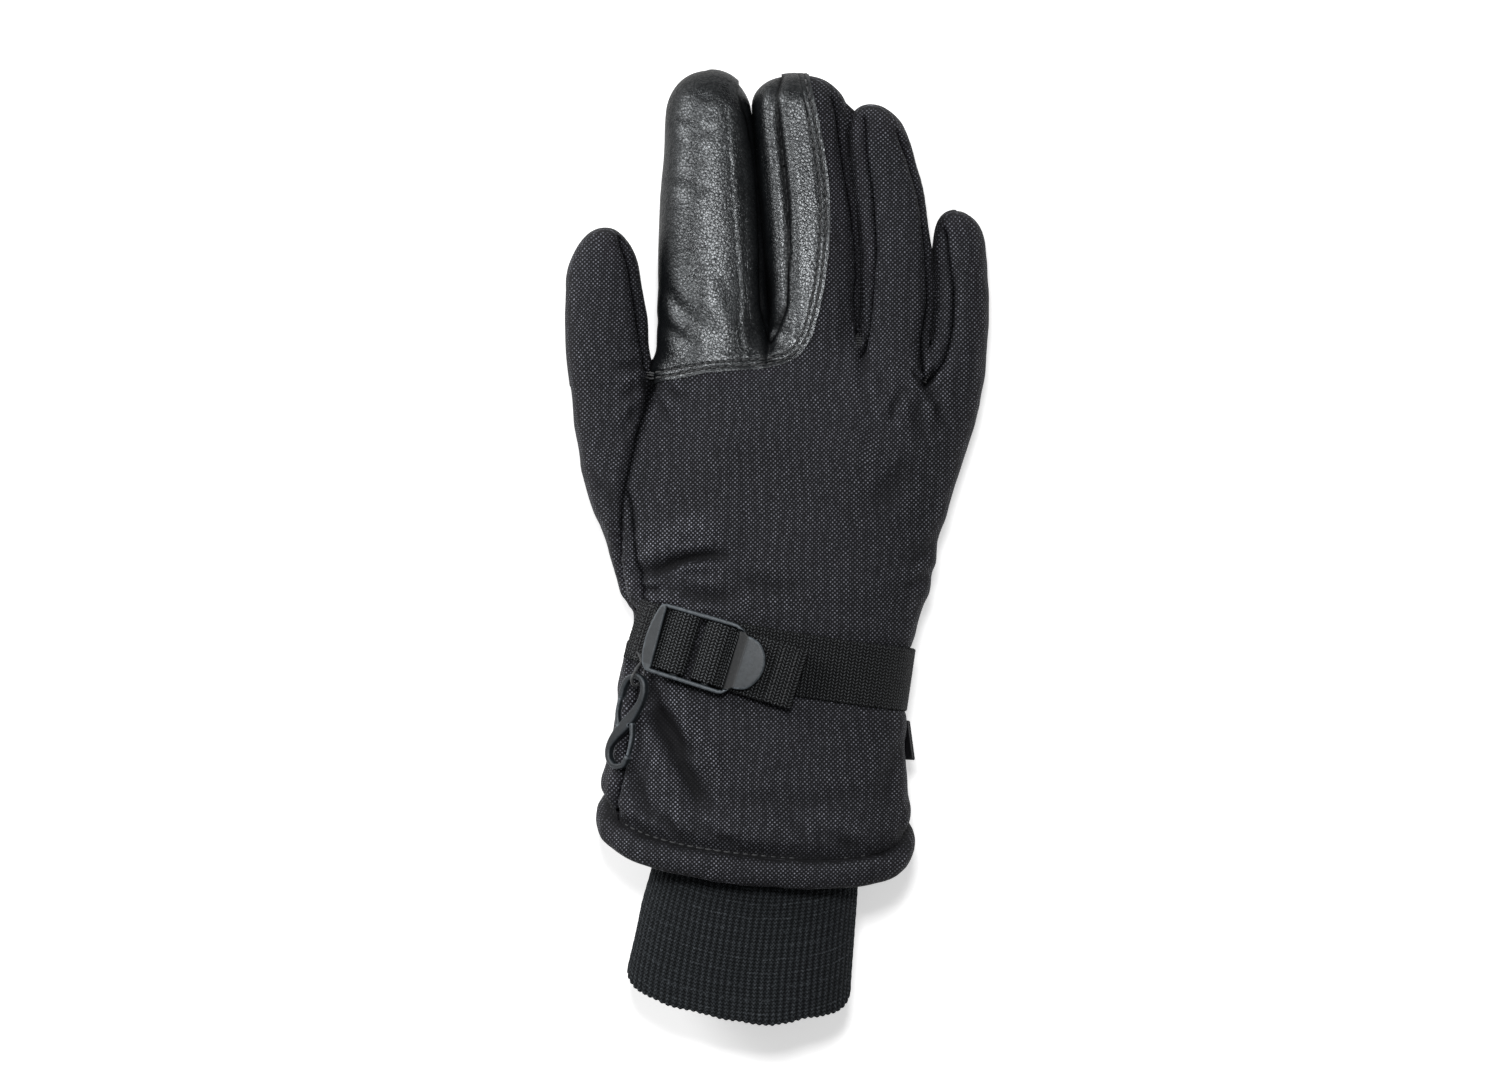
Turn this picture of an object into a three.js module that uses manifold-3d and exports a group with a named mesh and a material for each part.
// Insulated ski glove for the right hand, lying palm down.
// Millimetres. +Z up (palm at z = 0, back of the hand on top), +Y towards the fingertips,
// +X towards the little finger. The origin is the centre of the glove's outline on the table.
// Shell, insulation and lining are all cut from one nested set of lofts, so they follow each other.
import * as THREE from "three";
import { mergeVertices } from "three/addons/utils/BufferGeometryUtils.js";
import Module from "manifold-3d";

const wasm = await Module();
wasm.setup();

// ---------- driving dimensions ----------
const GAP = 0.3; // clearance between neighbouring pieces
const JOINT_GAP = 0.5; // clearance at a joint's pivot
const SHELL = 1.2; // shell cloth or leather, with its foam backing
const INSULATION = 2.6;
const LINING = 0.9;
const INSULATION_DEPTH = SHELL + GAP; // outer face of the insulation, below the glove's surface
const LINING_DEPTH = INSULATION_DEPTH + INSULATION + GAP;
const WEB_WIDTH = 19; // 3/4 inch webbing
const WEB_THICK = 1.3;
const HAND_FACETS = 16; // the same in every layer, so the layers nest
const FINGER_FACETS = 8;
const CUFF_FACETS = 24;
const SQUARENESS = 2.4; // superellipse exponent where a station gives none
const SPLIT_Z = 13.5; // parting of the palm and back panels, down the sides of the hand
const THUMB_X = -38.3; // plane between the thumb and the knuckles

// Soft joints: y, z of the pivot and how far it bends down (palm) and up (back), in degrees.
const WRIST = { y: -2, z: 20.5, down: 30, up: 30 };
const KNUCKLE = { y: 46, z: 18.5, down: 60, up: 0 };
const THUMB_JOINT = { y: 66, z: 14.5, down: 55, up: 0 };
const fingerJoint = (y, z) => ({ y, z, down: 75, up: 0 });
// straight plane where the knuckle section splits into fingers
const FINGER_ROOT = { y: 61, z: 18, down: 0, up: 0 };

// Loft stations: [y, thumb-side x, little-side x, centre z, half height, squareness (optional)]
const HAND = [
  [-112, -57.5, 41.5, 22.5, 24.0, 2.3],
  [-90, -55.8, 41.2, 22.5, 23.6, 2.3],
  [-66, -53.3, 40.2, 21.8, 22.8, 2.4],
  [-41, -48.6, 40.0, 20.6, 21.6, 2.7],
  [-29, -46.4, 41.4, 20.3, 21.3, 2.8],
  [-16, -47.0, 45.2, 20.1, 21.1, 2.6],
  [2, -49.4, 48.8, 19.7, 20.7, 2.4],
  [20, -47.0, 53.8, 19.0, 20.0, 2.4],
  [36, -42.8, 59.0, 18.5, 19.0, 2.5],
  [46, -40.6, 62.6, 18.0, 18.0, 2.6],
  [54, -39.0, 63.0, 17.2, 16.6, 2.8],
  [60, -36.0, 60.0, 16.6, 13.0, 2.8],
];
const KNIT_CUFF = [
  [-158, -48.0, 21.2, 20.6, 16.4, 2.2],
  [-134, -46.8, 22.3, 20.8, 16.4, 2.2],
  [-110, -41.2, 24.2, 21.2, 16.6, 2.2],
  [-90, -38.6, 27.0, 21.4, 16.2, 2.2],
  [-62, -36.0, 29.0, 21.2, 15.4, 2.2],
];
const THUMB = {
  tip: 99.0,
  tipRadius: 14,
  stations: [
    [-14, -47.6, -38.0, 17.0, 9.0],
    [-4, -51.0, -34.0, 16.6, 12.0],
    [8, -55.4, -32.0, 16.2, 13.6],
    [22, -59.4, -33.0, 15.8, 14.4],
    [40, -63.2, -36.0, 15.4, 14.6],
    [54, -65.2, -39.0, 15.0, 14.2],
    [70, -66.2, -38.8, 14.4, 13.6],
    [84, -65.6, -41.6, 13.6, 12.6],
    [99, -61.6, -46.0, 12.6, 11.6],
  ],
};
const WALL_BOTTOM = 8.5; // z range of the fingers' side walls and the fourchettes
const WALL_TOP = 20.5;
// walls: the material of each side wall the finger has
const FINGERS = {
  index: {
    tip: 147.6,
    tipRadius: 13.5,
    joint: fingerJoint(93, 15.5),
    walls: { little_side: "leather" },
    wallTop: WALL_TOP,
    stations: [
      [36, -37.4, -4.0, 18.2, 15.0],
      [64, -37.6, -3.0, 17.4, 14.9],
      [92, -36.8, -5.0, 16.2, 14.0],
      [121, -35.2, -7.7, 14.4, 12.8],
      [148, -33.4, -9.8, 12.6, 11.4],
    ],
  },
  middle: {
    tip: 146.2,
    tipRadius: 13,
    joint: fingerJoint(93, 15.5),
    walls: { thumb_side: "leather", little_side: "woven" },
    wallTop: WALL_TOP,
    stations: [
      [36, -2.4, 25.0, 18.2, 15.0],
      [64, -2.0, 24.2, 17.4, 14.8],
      [92, -4.0, 24.4, 16.2, 14.0],
      [121, -6.7, 22.4, 14.4, 12.8],
      [147, -7.6, 19.6, 12.6, 11.4],
    ],
  },
  ring: {
    tip: 137.2,
    tipRadius: 13,
    joint: fingerJoint(88, 15.0),
    walls: { thumb_side: "woven", little_side: "woven" },
    wallTop: WALL_TOP,
    stations: [
      [36, 25.0, 46.0, 17.8, 14.4],
      [58, 24.8, 44.6, 17.2, 14.3],
      [78, 25.2, 48.2, 16.2, 13.6],
      [102, 24.8, 46.6, 14.8, 12.7],
      [120, 22.9, 43.0, 13.6, 11.9],
      [138, 21.2, 37.6, 12.4, 11.0],
    ],
  },
  little: {
    tip: 104.6,
    tipRadius: 11,
    joint: fingerJoint(76, 13.5),
    walls: { thumb_side: "woven" },
    wallTop: WALL_TOP - 1.5,
    stations: [
      [32, 44.0, 62.4, 16.6, 13.4],
      [52, 44.6, 64.2, 16.2, 13.2],
      [66, 48.6, 65.2, 15.2, 12.5],
      [80, 49.2, 65.8, 14.0, 11.8],
      [105, 47.6, 63.4, 12.0, 10.6],
    ],
  },
};

// ---------- materials and output ----------
const MATERIALS = {
  woven: { color: 0x1c1d21, roughness: 0.86, metalness: 0 },
  leather: { color: 0x16191b, roughness: 0.42, metalness: 0 },
  fill: { color: 0xe6e4dc, roughness: 0.95, metalness: 0 },
  fleece: { color: 0x26272b, roughness: 0.98, metalness: 0 },
  knit: { color: 0x121416, roughness: 0.95, metalness: 0 },
  webbing: { color: 0x141517, roughness: 0.8, metalness: 0 },
  plastic: { color: 0x2b3033, roughness: 0.48, metalness: 0 },
  cord: { color: 0x17181a, roughness: 0.7, metalness: 0 },
};
const root = new THREE.Group();
root.name = "ski_glove";

const toSolid = (geometry) => {
  const flat = geometry.index ? geometry.toNonIndexed() : geometry;
  const bare = new THREE.BufferGeometry();
  bare.setAttribute("position", flat.getAttribute("position"));
  const merged = mergeVertices(bare, 1e-4);
  return new wasm.Manifold(
    new wasm.Mesh({
      numProp: 3,
      vertProperties: new Float32Array(merged.attributes.position.array),
      triVerts: new Uint32Array(merged.index.array),
    }),
  );
};
const toGeometry = (solid) => {
  const mesh = solid.getMesh();
  const geometry = new THREE.BufferGeometry();
  const positions = new Float32Array(mesh.vertProperties);
  geometry.setAttribute("position", new THREE.BufferAttribute(positions, 3));
  geometry.setIndex(new THREE.BufferAttribute(new Uint32Array(mesh.triVerts), 1));
  geometry.computeVertexNormals();
  return geometry;
};
// Adds the largest connected body of a solid to the glove; cutting can leave loose scraps.
const put = (name, solid, material) => {
  const body = solid.decompose().reduce((a, b) => (a.volume() >= b.volume() ? a : b));
  const mesh = new THREE.Mesh(
    toGeometry(body),
    new THREE.MeshStandardMaterial(MATERIALS[material]),
  );
  mesh.name = name;
  root.add(mesh);
};

// ---------- solids ----------
const radians = (degrees) => (degrees * Math.PI) / 180;
const signedPower = (value, exponent) => Math.sign(value) * Math.abs(value) ** exponent;
const union = (solids) => solids.reduce((a, b) => a.add(b));

const boxGeometry = (x0, y0, z0, x1, y1, z1) =>
  new THREE.BoxGeometry(x1 - x0, y1 - y0, z1 - z0).translate(
    (x0 + x1) / 2,
    (y0 + y1) / 2,
    (z0 + z1) / 2,
  );
const box = (...corners) => toSolid(boxGeometry(...corners));

const extrude = (points, depth) => {
  const shape = new THREE.Shape(points.map(([x, y]) => new THREE.Vector2(x, y)));
  return new THREE.ExtrudeGeometry(shape, { depth, bevelEnabled: false });
};
// a prism with a polygon in the XY plane, from z0 to z1
const prismGeometry = (points, z0, z1) => extrude(points, z1 - z0).translate(0, 0, z0);
const prismXY = (points, z0, z1) => toSolid(prismGeometry(points, z0, z1));
// a prism with a polygon in the YZ plane, from x0 to x1
const prismYZ = (points, x0, x1) => {
  // shape X -> Y, shape Y -> Z, depth -> X
  const turn = new THREE.Matrix4().set(0, 0, 1, x0, 1, 0, 0, 0, 0, 1, 0, 0, 0, 0, 0, 1);
  return toSolid(extrude(points, x1 - x0).applyMatrix4(turn));
};

// A closed surface through rings of equal point count, with a fan cap on each end.
const skin = (rings) => {
  const count = rings[0].length;
  const first = rings[0];
  const last = rings[rings.length - 1];
  const middle = (ring) =>
    ring.reduce((sum, point) => sum.map((value, k) => value + point[k] / count), [0, 0, 0]);
  const triangles = [];
  for (let i = 0; i + 1 < rings.length; i++)
    for (let j = 0; j < count; j++) {
      const k = (j + 1) % count;
      triangles.push([rings[i][j], rings[i][k], rings[i + 1][k]]);
      triangles.push([rings[i][j], rings[i + 1][k], rings[i + 1][j]]);
    }
  const firstMiddle = middle(first);
  const lastMiddle = middle(last);
  for (let j = 0; j < count; j++) {
    const k = (j + 1) % count;
    triangles.push([firstMiddle, first[k], first[j]]);
    triangles.push([lastMiddle, last[j], last[k]]);
  }
  const volume = triangles.reduce(
    (sum, [a, b, c]) =>
      sum +
      a[0] * (b[1] * c[2] - b[2] * c[1]) +
      a[1] * (b[2] * c[0] - b[0] * c[2]) +
      a[2] * (b[0] * c[1] - b[1] * c[0]),
    0,
  );
  // a negative volume means that every triangle faces inwards
  const outward = volume < 0 ? triangles.map(([a, b, c]) => [a, c, b]) : triangles;
  const geometry = new THREE.BufferGeometry();
  const positions = new Float32Array(outward.flat(2));
  geometry.setAttribute("position", new THREE.BufferAttribute(positions, 3));
  return toSolid(geometry);
};

// ---------- lofts ----------
// the station values at y, without the y itself; held constant beyond both ends
const stationAt = (stations, y) => {
  if (y <= stations[0][0]) return stations[0].slice(1);
  for (let i = 0; i + 1 < stations.length; i++) {
    const [from, to] = [stations[i], stations[i + 1]];
    if (y <= to[0]) {
      const t = (y - from[0]) / (to[0] - from[0]);
      return from.slice(1).map((value, k) => value + t * (to[k + 1] - value));
    }
  }
  return stations[stations.length - 1].slice(1);
};
const MIN_HALF = 0.4; // smallest half width or height of a ring
// a superellipse ring at y, shrunk by offset and then scaled
const ringAt = (stations, y, offset, count, scale = 1) => {
  const [x0, x1, centreZ, halfHeight, squareness = SQUARENESS] = stationAt(stations, y);
  const a = Math.max(MIN_HALF, ((x1 - x0) / 2 - offset) * scale);
  const b = Math.max(MIN_HALF, (halfHeight - offset) * scale);
  const points = [];
  for (let i = 0; i < count; i++) {
    const angle = (2 * Math.PI * (i + 0.5)) / count;
    points.push([
      (x0 + x1) / 2 + a * signedPower(Math.cos(angle), 2 / squareness),
      y,
      centreZ + b * signedPower(Math.sin(angle), 2 / squareness),
    ]);
  }
  return points.reverse();
};
const loft = (stations, ys, offset, count) =>
  skin(ys.map((y) => ringAt(stations, y, offset, count)));

const TIP_STEPS = [0.55, 0.88, 1]; // rings of the rounded tip, as fractions of its length
const TIP_ROUNDNESS = 2.2; // superellipse exponent of the tip's profile
const TIP_END_SCALE = 0.12; // size of the last ring
const RING_SPACING = 3; // stations nearer than this to the loft's ends are left out
const fingerLoft = ({ tip, tipRadius, stations }, offset, startY) => {
  const radius = tipRadius - offset * 0.7;
  const tipStart = tip - offset - radius;
  const inside = stations
    .map(([y]) => y)
    .filter((y) => y > startY + RING_SPACING && y < tipStart - RING_SPACING);
  const rings = [startY, ...inside, tipStart].map((y) =>
    ringAt(stations, y, offset, FINGER_FACETS),
  );
  for (const step of TIP_STEPS) {
    const round = (1 - step ** TIP_ROUNDNESS) ** (1 / TIP_ROUNDNESS);
    const scale = step === 1 ? TIP_END_SCALE : round;
    rings.push(ringAt(stations, tipStart + radius * step, offset, FINGER_FACETS, scale));
  }
  return skin(rings);
};
// the whole glove as a solid, shrunk by offset
const glove = (offset) => {
  const handYs = HAND.map(([y]) => y);
  handYs[handYs.length - 1] -= offset * 0.6;
  return union([
    loft(HAND, handYs, offset, HAND_FACETS),
    fingerLoft(THUMB, offset, THUMB.stations[0][0] + offset),
    ...Object.values(FINGERS).map((finger) =>
      fingerLoft(finger, offset, finger.stations[0][0]),
    ),
  ]).intersect(box(-200, -200, Math.max(0, offset), 200, 200, 200));
};
const layer = (depth, thickness) => glove(depth).subtract(glove(depth + thickness));
const shell = layer(0, SHELL);
const insulation = layer(INSULATION_DEPTH, INSULATION);
const lining = layer(LINING_DEPTH, LINING);

// ---------- regions between the joints ----------
const FAR = 100; // half the regions' width, clear of the glove
const CUT_TOP = 60;
const CUT_BOTTOM = -1;
// One side of a joint's notch, as [y, z] from top to bottom.
// side is -1 towards the gauntlet, +1 towards the tips.
const notchSide = ({ y, z, down, up }, side) => [
  [y + side * (JOINT_GAP / 2 + (CUT_TOP - z) * Math.tan(radians(up / 2))), CUT_TOP],
  [y + (side * JOINT_GAP) / 2, z],
  [y + side * (JOINT_GAP / 2 + (z - CUT_BOTTOM) * Math.tan(radians(down / 2))), CUT_BOTTOM],
];
const openEnd = (y) => [[y, CUT_TOP], [y, CUT_BOTTOM]];
// everything from one joint to the next; null leaves that end open
const between = (near, far, x0 = -FAR, x1 = FAR) => {
  const nearSide = near ? notchSide(near, 1) : openEnd(-400);
  const farSide = far ? notchSide(far, -1) : openEnd(400);
  return prismYZ([...nearSide, ...farSide.reverse()], x0, x1);
};
const THUMB_SIDE_X = THUMB_X - GAP / 2;
const KNUCKLE_SIDE_X = THUMB_X + GAP / 2;
const CUTTER_Z = [-60, 90]; // z range of the upright cutters, well past the glove

const LANE_START = 60;
const LANE_END = 170;
const LANE_GROW = 0.02;
// the upright lane that holds one finger
const lane = ({ stations }) => {
  const inside = stations.map(([y]) => y).filter((y) => y > LANE_START);
  const ys = [LANE_START, ...inside, LANE_END];
  const thumbEdge = ys.map((y) => [stationAt(stations, y)[0] - LANE_GROW, y]);
  const littleEdge = ys.map((y) => [stationAt(stations, y)[1] + LANE_GROW, y]);
  return prismXY([...thumbEdge, ...littleEdge.reverse()], ...CUTTER_Z);
};
const REGION = {
  gauntlet: between(null, WRIST),
  hand: between(WRIST, KNUCKLE).add(between(WRIST, THUMB_JOINT, -FAR, THUMB_SIDE_X)),
  thumbTip: between(THUMB_JOINT, null, -FAR, THUMB_SIDE_X),
  knuckles: union(
    Object.values(FINGERS).map((finger) =>
      between(KNUCKLE, finger.joint).intersect(lane(finger)),
    ),
  ).add(between(KNUCKLE, FINGER_ROOT, KNUCKLE_SIDE_X, FAR)),
};

const aboveSplit = box(-200, -300, SPLIT_Z + GAP / 2, 200, 300, 200);
const belowSplit = box(-200, -300, -200, 200, 300, SPLIT_Z - GAP / 2);
const putPanels = (solid, back, palm) => {
  put(back.name, solid.intersect(aboveSplit), back.material);
  put(palm.name, solid.intersect(belowSplit), palm.material);
};
const putFilling = (prefix, ...regions) => {
  const cut = (solid) => regions.reduce((part, region) => part.intersect(region), solid);
  put(`${prefix}_insulation`, cut(insulation), "fill");
  put(`${prefix}_lining`, cut(lining), "fleece");
};

// ---------- gauntlet ----------
// The mouth, the hem line and the knit cuff's end are slanted planes, y = start + slopeX * x +
// slopeZ * (z - 22): the glove reaches further back on top than at the palm.
const SLANT_Z = 22;
const MOUTH = { start: -92.5, slopeX: -0.06, slopeZ: -0.52 };
const CUFF_END = { start: -138.85, slopeX: -0.02, slopeZ: -0.6 };
const HEM_WIDTH = 9.5;
const HEM_OUT = 0.6; // how far the binding stands out from the shell
const HEM_DEPTH = 4.2; // its inner face, below the glove's surface
const FILLING_SETBACK = 2; // from the hem line to the edge of the filling
const CUFF_WALL = 2.0;

// everything on the +Y side of a slanted plane that is moved by shift
const beyond = ({ start, slopeX, slopeZ }, shift = 0) => {
  const corners = [[-90, 100], [90, 100], [90, -40], [-90, -40]]; // x, z
  const planeY = (x, z) => start + shift + slopeX * x + slopeZ * (z - SLANT_Z);
  return skin([0, 300].map((reach) => corners.map(([x, z]) => [x, planeY(x, z) + reach, z])));
};
const addGauntlet = () => {
  putPanels(
    shell.intersect(REGION.gauntlet).intersect(beyond(MOUTH, HEM_WIDTH + GAP)),
    { name: "gauntlet_back_panel", material: "woven" },
    { name: "gauntlet_palm_panel", material: "woven" },
  );
  putFilling("gauntlet", REGION.gauntlet, beyond(MOUTH, HEM_WIDTH + FILLING_SETBACK));
  const hem = glove(-HEM_OUT)
    .subtract(glove(HEM_DEPTH))
    .intersect(beyond(MOUTH))
    .subtract(beyond(MOUTH, HEM_WIDTH));
  put("hem_binding", hem, "woven");
};
// a tube that comes out of the gauntlet
const addKnitCuff = () => {
  const outerYs = KNIT_CUFF.map(([y]) => y);
  const innerYs = outerYs.slice();
  // the bore runs past both ends
  innerYs[0] -= 1;
  innerYs[innerYs.length - 1] += 1;
  const cuff = loft(KNIT_CUFF, outerYs, 0, CUFF_FACETS)
    .subtract(loft(KNIT_CUFF, innerYs, CUFF_WALL, CUFF_FACETS))
    .intersect(beyond(CUFF_END));
  put("knit_cuff", cuff, "knit");
};

// ---------- hand and thumb ----------
// seam between the hand and the thumb, as [x, y]
const THUMB_SEAM = [
  [-49.9, -20], [-49.6, -5], [-49.6, 4], [-47.4, 18],
  [-44.3, 30], [-40.9, 42], [THUMB_X, 53], [THUMB_X, 160],
];
// everything from the seam, moved by shift along X, out to farX
const besideSeam = (shift, farX) => {
  const seam = THUMB_SEAM.map(([x, y]) => [x + shift, y]);
  return prismXY([...seam, [farX, 160], [farX, -20]], ...CUTTER_Z);
};
const addHand = () => {
  const handShell = shell.intersect(REGION.hand);
  putPanels(
    handShell.intersect(besideSeam(GAP / 2, 120)),
    { name: "hand_back_panel", material: "woven" },
    { name: "palm_panel", material: "leather" },
  );
  putPanels(
    handShell.intersect(besideSeam(-GAP / 2, -120)),
    { name: "thumb_back_base", material: "woven" },
    { name: "thumb_palm_base", material: "leather" },
  );
  putFilling("hand", REGION.hand);
};
const addThumbTip = () => {
  putPanels(
    shell.intersect(REGION.thumbTip),
    { name: "thumb_tip_back", material: "woven" },
    { name: "thumb_tip_palm", material: "leather" },
  );
  putFilling("thumb_tip", REGION.thumbTip);
};

// ---------- knuckles ----------
// leather patch over the index finger and part of the middle finger, as [x, y]
const PATCH_X = -60;
const PATCH_Y = 160;
const PATCH = [
  [PATCH_X, 50.6], [-36.1, 50.7], [-26, 52.7], [-12.5, 54.4], [-2.5, 55.4],
  [4.3, 58.2], [9.0, 62.8], [13.0, 73.6], [15.7, 87.0], [16.4, 103.7],
  [14.3, 123.8], [11.0, 140.7], [9.0, PATCH_Y], [PATCH_X, PATCH_Y],
];
const PATCH_GROW = GAP * 0.8;
const patch = prismXY(PATCH, SPLIT_Z, CUTTER_Z[1]);
// the patch with its clearance, for cutting the woven panels
const patchCutter = prismXY(
  PATCH.map(([x, y]) => [
    x + (x > PATCH_X ? PATCH_GROW : 0),
    y - (y < PATCH_Y ? PATCH_GROW : 0),
  ]),
  ...CUTTER_Z,
);
// side walls at the crotches between the fingers
const FOURCHETTES = [
  { name: "fourchette_index_middle", x0: -8.6, x1: 3.6, y0: 58, material: "leather" },
  { name: "fourchette_middle_ring", x0: 18.8, x1: 30.6, y0: 55, material: "woven" },
  { name: "fourchette_ring_little", x0: 41.6, x1: 54.2, y0: 51, material: "woven" },
];
const fourchetteBox = ({ x0, x1, y0 }, grow) =>
  box(x0 - grow, y0 - grow, WALL_BOTTOM - grow, x1 + grow, 140, WALL_TOP + grow);

const addKnuckles = () => {
  const knuckleShell = shell.intersect(REGION.knuckles);
  const panels = knuckleShell.subtract(union(FOURCHETTES.map((f) => fourchetteBox(f, GAP))));
  const back = panels.intersect(aboveSplit);
  put("knuckle_back_panel", back.subtract(patchCutter), "woven");
  put("knuckle_leather_patch", back.intersect(patch), "leather");
  put("knuckle_palm_panel", panels.intersect(belowSplit), "leather");
  for (const fourchette of FOURCHETTES) {
    const wall = knuckleShell.intersect(fourchetteBox(fourchette, 0));
    put(fourchette.name, wall, fourchette.material);
  }
  putFilling("knuckle", REGION.knuckles);
};

// ---------- fingers ----------
const WALL_INSET = 4; // from the finger's middle line to the edge of a side wall
const WALL_BACK = 40; // how far the wall's cutter reaches back from the joint
const WALL_TIP = 5; // from the wall's end to the fingertip
const MIDDLE_LINE_AT = 20; // beyond the joint, where the middle line is taken

const wallBox = ({ tip, joint, stations, wallTop }, side, grow) => {
  const [x0, x1] = stationAt(stations, joint.y + MIDDLE_LINE_AT);
  const middle = (x0 + x1) / 2;
  const [from, to] =
    side === "little_side"
      ? [middle + WALL_INSET - grow, 200]
      : [-200, middle - WALL_INSET + grow];
  const startY = joint.y - WALL_BACK;
  const endY = tip - WALL_TIP + grow;
  return box(from, startY, WALL_BOTTOM - grow, to, endY, wallTop + grow);
};
const addFinger = (name, finger) => {
  const region = between(finger.joint, null).intersect(lane(finger));
  const fingerShell = shell.intersect(region);
  const panels = Object.keys(finger.walls).reduce(
    (rest, side) => rest.subtract(wallBox(finger, side, GAP)),
    fingerShell,
  );
  const back = panels.intersect(aboveSplit);
  if (name === "middle") {
    put("middle_back_leather", back.intersect(patch), "leather");
    put("middle_back_woven", back.subtract(patchCutter), "woven");
  } else {
    put(`${name}_back_panel`, back, name === "index" ? "leather" : "woven");
  }
  put(`${name}_palm_panel`, panels.intersect(belowSplit), "leather");
  for (const [side, material] of Object.entries(finger.walls))
    put(`${name}_wall_${side}`, fingerShell.intersect(wallBox(finger, side, 0)), material);
  putFilling(name, region);
};

// ---------- frames for the small parts ----------
const inFrame = (geometry, frame) => toSolid(geometry.applyMatrix4(frame));
// a strip of webbing through frames of a centre, a width direction and a normal
const ribbon = (frames, width, thickness) =>
  skin(
    frames.map(({ centre, across, normal }) => {
      const side = new THREE.Vector3(...across).normalize().multiplyScalar(width / 2);
      const rise = new THREE.Vector3(...normal).normalize().multiplyScalar(thickness / 2);
      return [[-1, -1], [1, -1], [1, 1], [-1, 1]].map(([i, j]) =>
        new THREE.Vector3(...centre).addScaledVector(side, i).addScaledVector(rise, j).toArray(),
      );
    }),
  );

// ---------- ladder-lock buckle ----------
// Its own frame: x along it from the fixed end to the thumb tab, y across the webbing, z up.
const BUCKLE_AT = new THREE.Vector3(-38.6, -27.1, 40.4); // underside of the fixed end
const BUCKLE_TURN = radians(-17.3);
const BUCKLE_TILT = radians(8.4);
const buckleAlong = new THREE.Vector3(
  Math.cos(BUCKLE_TURN),
  Math.sin(BUCKLE_TURN),
  Math.tan(BUCKLE_TILT),
).normalize();
const buckleAcross = new THREE.Vector3(-Math.sin(BUCKLE_TURN), Math.cos(BUCKLE_TURN), 0);
const buckleUp = new THREE.Vector3().crossVectors(buckleAlong, buckleAcross).normalize();
const buckleFrame = new THREE.Matrix4()
  .makeBasis(buckleAlong, buckleAcross, buckleUp)
  .setPosition(BUCKLE_AT);

const BUCKLE_HALF = 11.3; // half the outer width
const SLOT_HALF = 9.8; // half the slot's width
const BUCKLE_LENGTH = 31.0;
const BUCKLE_BOTTOM = 0.4;
const BUCKLE_TOP = 4.6;
const END_BAR = 2.6; // from each end to the opening
const FIXED_BAR_X = 10.5;
const GRIP_BAR_X = 21.5;
const BAR = { z: 2.3, radius: 1.35, half: SLOT_HALF + 0.6, facets: 10 };
const TAB = { x: 29.6, arcX: 30.4, reach: 7.3, half: 8.2, bottom: 2.6, steps: 10 };
const BUCKLE_OUTLINE = [
  [0.9, -BUCKLE_HALF],
  [BUCKLE_LENGTH - 2.4, -BUCKLE_HALF],
  [BUCKLE_LENGTH - 0.4, -BUCKLE_HALF + 1.6],
  [BUCKLE_LENGTH, -TAB.half],
  [BUCKLE_LENGTH, TAB.half],
  [BUCKLE_LENGTH - 0.4, BUCKLE_HALF - 1.6],
  [BUCKLE_LENGTH - 2.4, BUCKLE_HALF],
  [0.9, BUCKLE_HALF],
  [-0.3, 7], [-0.8, 0], [-0.3, -7],
];
const buckleBar = (x) =>
  inFrame(
    new THREE.CylinderGeometry(BAR.radius, BAR.radius, 2 * BAR.half, BAR.facets).translate(
      x,
      0,
      BAR.z,
    ),
    buckleFrame,
  );
const thumbTab = () => {
  const arc = [];
  for (let i = 0; i <= TAB.steps; i++) {
    const angle = -Math.PI / 2 + (Math.PI * i) / TAB.steps;
    arc.push([TAB.arcX + TAB.reach * Math.cos(angle), TAB.half * Math.sin(angle)]);
  }
  const outline = [[TAB.x, -TAB.half], ...arc, [TAB.x, TAB.half]];
  return inFrame(prismGeometry(outline, TAB.bottom, BUCKLE_TOP), buckleFrame);
};
const addBuckle = () => {
  const slotEnd = BUCKLE_LENGTH - END_BAR;
  const opening = boxGeometry(END_BAR, -SLOT_HALF, -2, slotEnd, SLOT_HALF, 8);
  // lets the webbing run out under the tab end
  const underCut = boxGeometry(20, -SLOT_HALF, -2, 40, SLOT_HALF, 2.7);
  const buckle = inFrame(prismGeometry(BUCKLE_OUTLINE, BUCKLE_BOTTOM, BUCKLE_TOP), buckleFrame)
    .subtract(inFrame(opening, buckleFrame))
    .subtract(inFrame(underCut, buckleFrame))
    .add(buckleBar(FIXED_BAR_X))
    .add(buckleBar(GRIP_BAR_X))
    .add(thumbTab());
  put("ladder_lock_buckle", buckle, "plastic");
};

// ---------- webbing ----------
const WRAP = { from: -30, sweep: 240, steps: 8 }; // degrees; open towards the glove
// webbing bent round a bar of the buckle
const barWrap = (barX) => {
  const radius = BAR.radius + GAP + WEB_THICK / 2;
  const frames = [];
  for (let i = 0; i <= WRAP.steps; i++) {
    const angle = radians(WRAP.from + (WRAP.sweep * i) / WRAP.steps);
    const [c, s] = [Math.cos(angle), Math.sin(angle)];
    frames.push({
      centre: new THREE.Vector3(barX + radius * c, 0, BAR.z + radius * s)
        .applyMatrix4(buckleFrame),
      across: buckleAcross,
      normal: new THREE.Vector3(c, 0, s).transformDirection(buckleFrame),
    });
  }
  return ribbon(frames, WEB_WIDTH, WEB_THICK);
};

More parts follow.
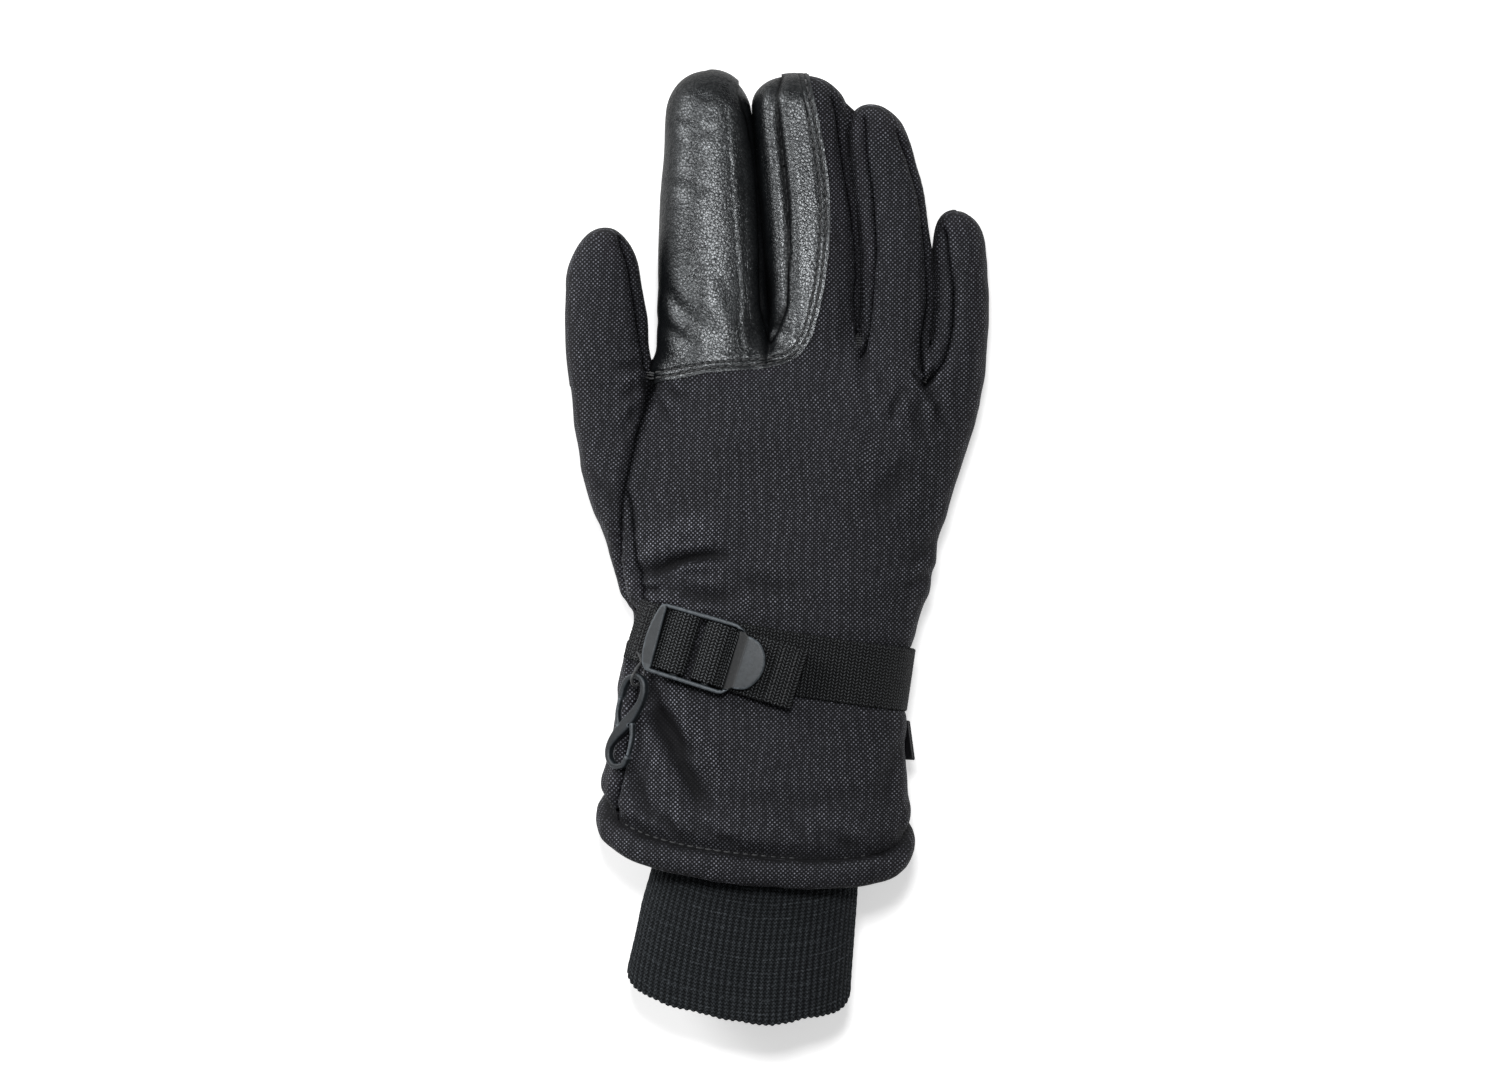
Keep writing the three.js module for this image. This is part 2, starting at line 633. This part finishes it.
// The strap stands clear of the shell and runs from (x, y) over the back of the wrist.
const STRAP = { x: 41.5, y: -41.7, slope: 0.143, lift: 1.1, endX: -16 };
const STRAP_ACROSS = [STRAP.slope, 0.99, 0];
const strapFrame = (angle) => {
  const rise = STRAP.lift + WEB_THICK / 2;
  const [c, s] = [Math.cos(angle), Math.sin(angle)];
  let y = STRAP.y;
  let centre;
  let normal;
  // the strap's y depends on its x and the hand's section on y, so it is found in two passes
  for (let pass = 0; pass < 2; pass++) {
    const [x0, x1, centreZ, b, squareness] = stationAt(HAND, y);
    const a = (x1 - x0) / 2;
    const power = 2 / squareness;
    const x = (x0 + x1) / 2 + a * signedPower(c, power);
    const z = centreZ + b * signedPower(s, power);
    normal = new THREE.Vector3(
      signedPower(c, 2 - power) / a,
      0,
      signedPower(s, 2 - power) / b,
    ).normalize();
    y = STRAP.y + (STRAP.x - x) * STRAP.slope;
    centre = [x + normal.x * rise, y, z + normal.z * rise];
  }
  return { centre, across: STRAP_ACROSS, normal };
};
// from the little-finger seam over the back of the wrist to under the buckle
const addWristStrap = () => {
  const frames = [];
  // finer steps round the shoulder of the section
  for (let degrees = -8; degrees < 125; degrees += degrees < 10 || degrees > 70 ? 9 : 6) {
    const frame = strapFrame(radians(degrees));
    if (frame.centre[0] < STRAP.endX) break;
    frames.push(frame);
  }
  const strap = ribbon(frames, WEB_WIDTH, WEB_THICK).subtract(glove(-GAP));
  put("wrist_strap", strap, "webbing");
};

// webbing along [x, z] points of the buckle's frame
const buckleRibbon = (points, width, thickness) => {
  const frames = points.map(([x, z]) => ({
    centre: new THREE.Vector3(x, 0, z).applyMatrix4(buckleFrame),
    across: buckleAcross,
    normal: buckleUp,
  }));
  return ribbon(frames, width, thickness);
};
const FREE_END = [[24.8, 1.5], [33, 1.3], [40, 0.3], [46.4, -0.7]];
const FOLDED_END = [[39.8, 1.2], [46.6, 0.2]];
const ANCHOR = [[-3.4, -2.6], [1.0, -0.8], [8.0, -0.75], [13.5, -0.75]];
// under the thumb tab and on, with the end folded over
const addFreeEnd = () => {
  const fold = buckleRibbon(FOLDED_END, WEB_WIDTH - 0.4, 1.4);
  put("strap_free_end", buckleRibbon(FREE_END, WEB_WIDTH, 1.2).add(fold), "webbing");
};
const addWebbing = () => {
  put("strap_wrap_fixed_bar", barWrap(FIXED_BAR_X), "webbing");
  put("strap_wrap_grip_bar", barWrap(GRIP_BAR_X), "webbing");
  addWristStrap();
  addFreeEnd();
  // holds the buckle at the thumb-side seam
  put("buckle_anchor_webbing", buckleRibbon(ANCHOR, WEB_WIDTH, 1.0), "webbing");
};

// ---------- clip on its cord loop ----------
// Its own frame: x along the clip away from the loop, y across it, z through its thickness.
const CLIP_AT = new THREE.Vector3(-43.3, -41.2, 39.2);
const CLIP_FACING = new THREE.Vector3(-0.68, 0.0, 0.73);
const clipAlong = new THREE.Vector3(-0.245, -0.96, -0.135).normalize();
const clipAcross = new THREE.Vector3().crossVectors(CLIP_FACING, clipAlong).normalize();
const clipNormal = new THREE.Vector3().crossVectors(clipAlong, clipAcross).normalize();
const clipFrame = new THREE.Matrix4()
  .makeBasis(clipAlong, clipAcross, clipNormal)
  .setPosition(CLIP_AT);

const CLIP_HALF = 1.2; // half the clip's thickness
const GATE_HALF = CLIP_HALF - 0.1;
// bars as [x, y, half width]: the body runs from top hook through diagonal to bottom hook
const CLIP_BODY = [
  [7.0, -4.4, 0.9], [3.6, -4.3, 0.95], [0.6, -3.2, 1], [-1.2, -0.2, 1.05],
  [-0.4, 2.8, 1.05], [2.6, 4.2, 1.1], [6.4, 4.0, 1.2], [11.0, 2.4, 1.7],
  [15.6, 0.0, 2.1], [20.0, -2.6, 1.7], [24.4, -4.0, 1.2], [28.0, -3.0, 1.05],
  [29.6, 0.0, 1.0], [28.4, 3.2, 0.95], [25.6, 4.2, 0.9],
];
const UPPER_GATE = [
  [8.4, -4.55, 0.55], [10.0, -4.5, 0.7], [13.0, -4.1, 0.75], [16.2, -2.75, 0.75],
];
const LOWER_GATE = [
  [14.6, 2.8, 0.75], [17.8, 3.9, 0.75], [21.0, 4.3, 0.7], [23.9, 4.35, 0.65],
];
const flatBar = (stations, halfThickness, grow = 0) => {
  const oneEdge = [];
  const otherEdge = [];
  stations.forEach(([x, y, halfWidth], i) => {
    const before = stations[Math.max(0, i - 1)];
    const after = stations[Math.min(stations.length - 1, i + 1)];
    const dx = after[0] - before[0];
    const dy = after[1] - before[1];
    const scale = (halfWidth + grow) / Math.hypot(dx, dy);
    oneEdge.push([x - dy * scale, y + dx * scale]);
    otherEdge.push([x + dy * scale, y - dx * scale]);
  });
  const outline = [...oneEdge, ...otherEdge.reverse()];
  return inFrame(prismGeometry(outline, -halfThickness, halfThickness), clipFrame);
};
const addClip = () => {
  put("snap_clip", flatBar(CLIP_BODY, CLIP_HALF), "plastic");
  // spring tongues, cut clear of the body
  const clearance = flatBar(CLIP_BODY, CLIP_HALF + 1, GAP);
  const gates = { clip_upper_gate: UPPER_GATE, clip_lower_gate: LOWER_GATE };
  for (const [name, stations] of Object.entries(gates))
    put(name, flatBar(stations, GATE_HALF).subtract(clearance), "plastic");
};

// an open loop through the clip's top eye; its ends drop where x is below dropX
const LOOP = {
  x: -1.35, y: -0.2, radiusX: 3.1, radiusZ: 2.35, dropX: -0.4, drop: 0.3,
  from: -150, sweep: 300, points: 10, steps: 14,
};
const CORD = { radius: 0.5, facets: 7 };
const addCordLoop = () => {
  const path = [];
  for (let i = 0; i <= LOOP.points; i++) {
    const angle = radians(LOOP.from + (LOOP.sweep * i) / LOOP.points);
    const x = LOOP.x + LOOP.radiusX * Math.cos(angle);
    const z = LOOP.radiusZ * Math.sin(angle) - LOOP.drop * Math.max(0, LOOP.dropX - x);
    path.push(new THREE.Vector3(x, LOOP.y, z).applyMatrix4(clipFrame));
  }
  const section = Array.from({ length: CORD.facets }, (_, i) => {
    const angle = (2 * Math.PI * i) / CORD.facets;
    return new THREE.Vector2(CORD.radius * Math.cos(angle), CORD.radius * Math.sin(angle));
  });
  const cord = new THREE.ExtrudeGeometry(new THREE.Shape(section), {
    extrudePath: new THREE.CatmullRomCurve3(path),
    steps: LOOP.steps,
    bevelEnabled: false,
  });
  put("clip_cord_loop", toSolid(cord), "cord");
};

// ---------- side tab ----------
// a short strip on the little-finger side of the gauntlet, as [x, z]
const SIDE_TAB = [[41.1, 17.5], [42.7, 19.4], [43.7, 22.0]];
const SIDE_TAB_Y = -60.2;
const addSideTab = () => {
  const frames = SIDE_TAB.map(([x, z]) => ({
    centre: [x, SIDE_TAB_Y, z],
    across: [0, 1, 0],
    normal: [1, 0, 0],
  }));
  put("side_tab", ribbon(frames, 11, 1.1), "webbing");
};

addGauntlet();
addKnitCuff();
addHand();
addThumbTip();
addKnuckles();
for (const [name, finger] of Object.entries(FINGERS)) addFinger(name, finger);
addBuckle();
addWebbing();
addClip();
addCordLoop();
addSideTab();

export default root;
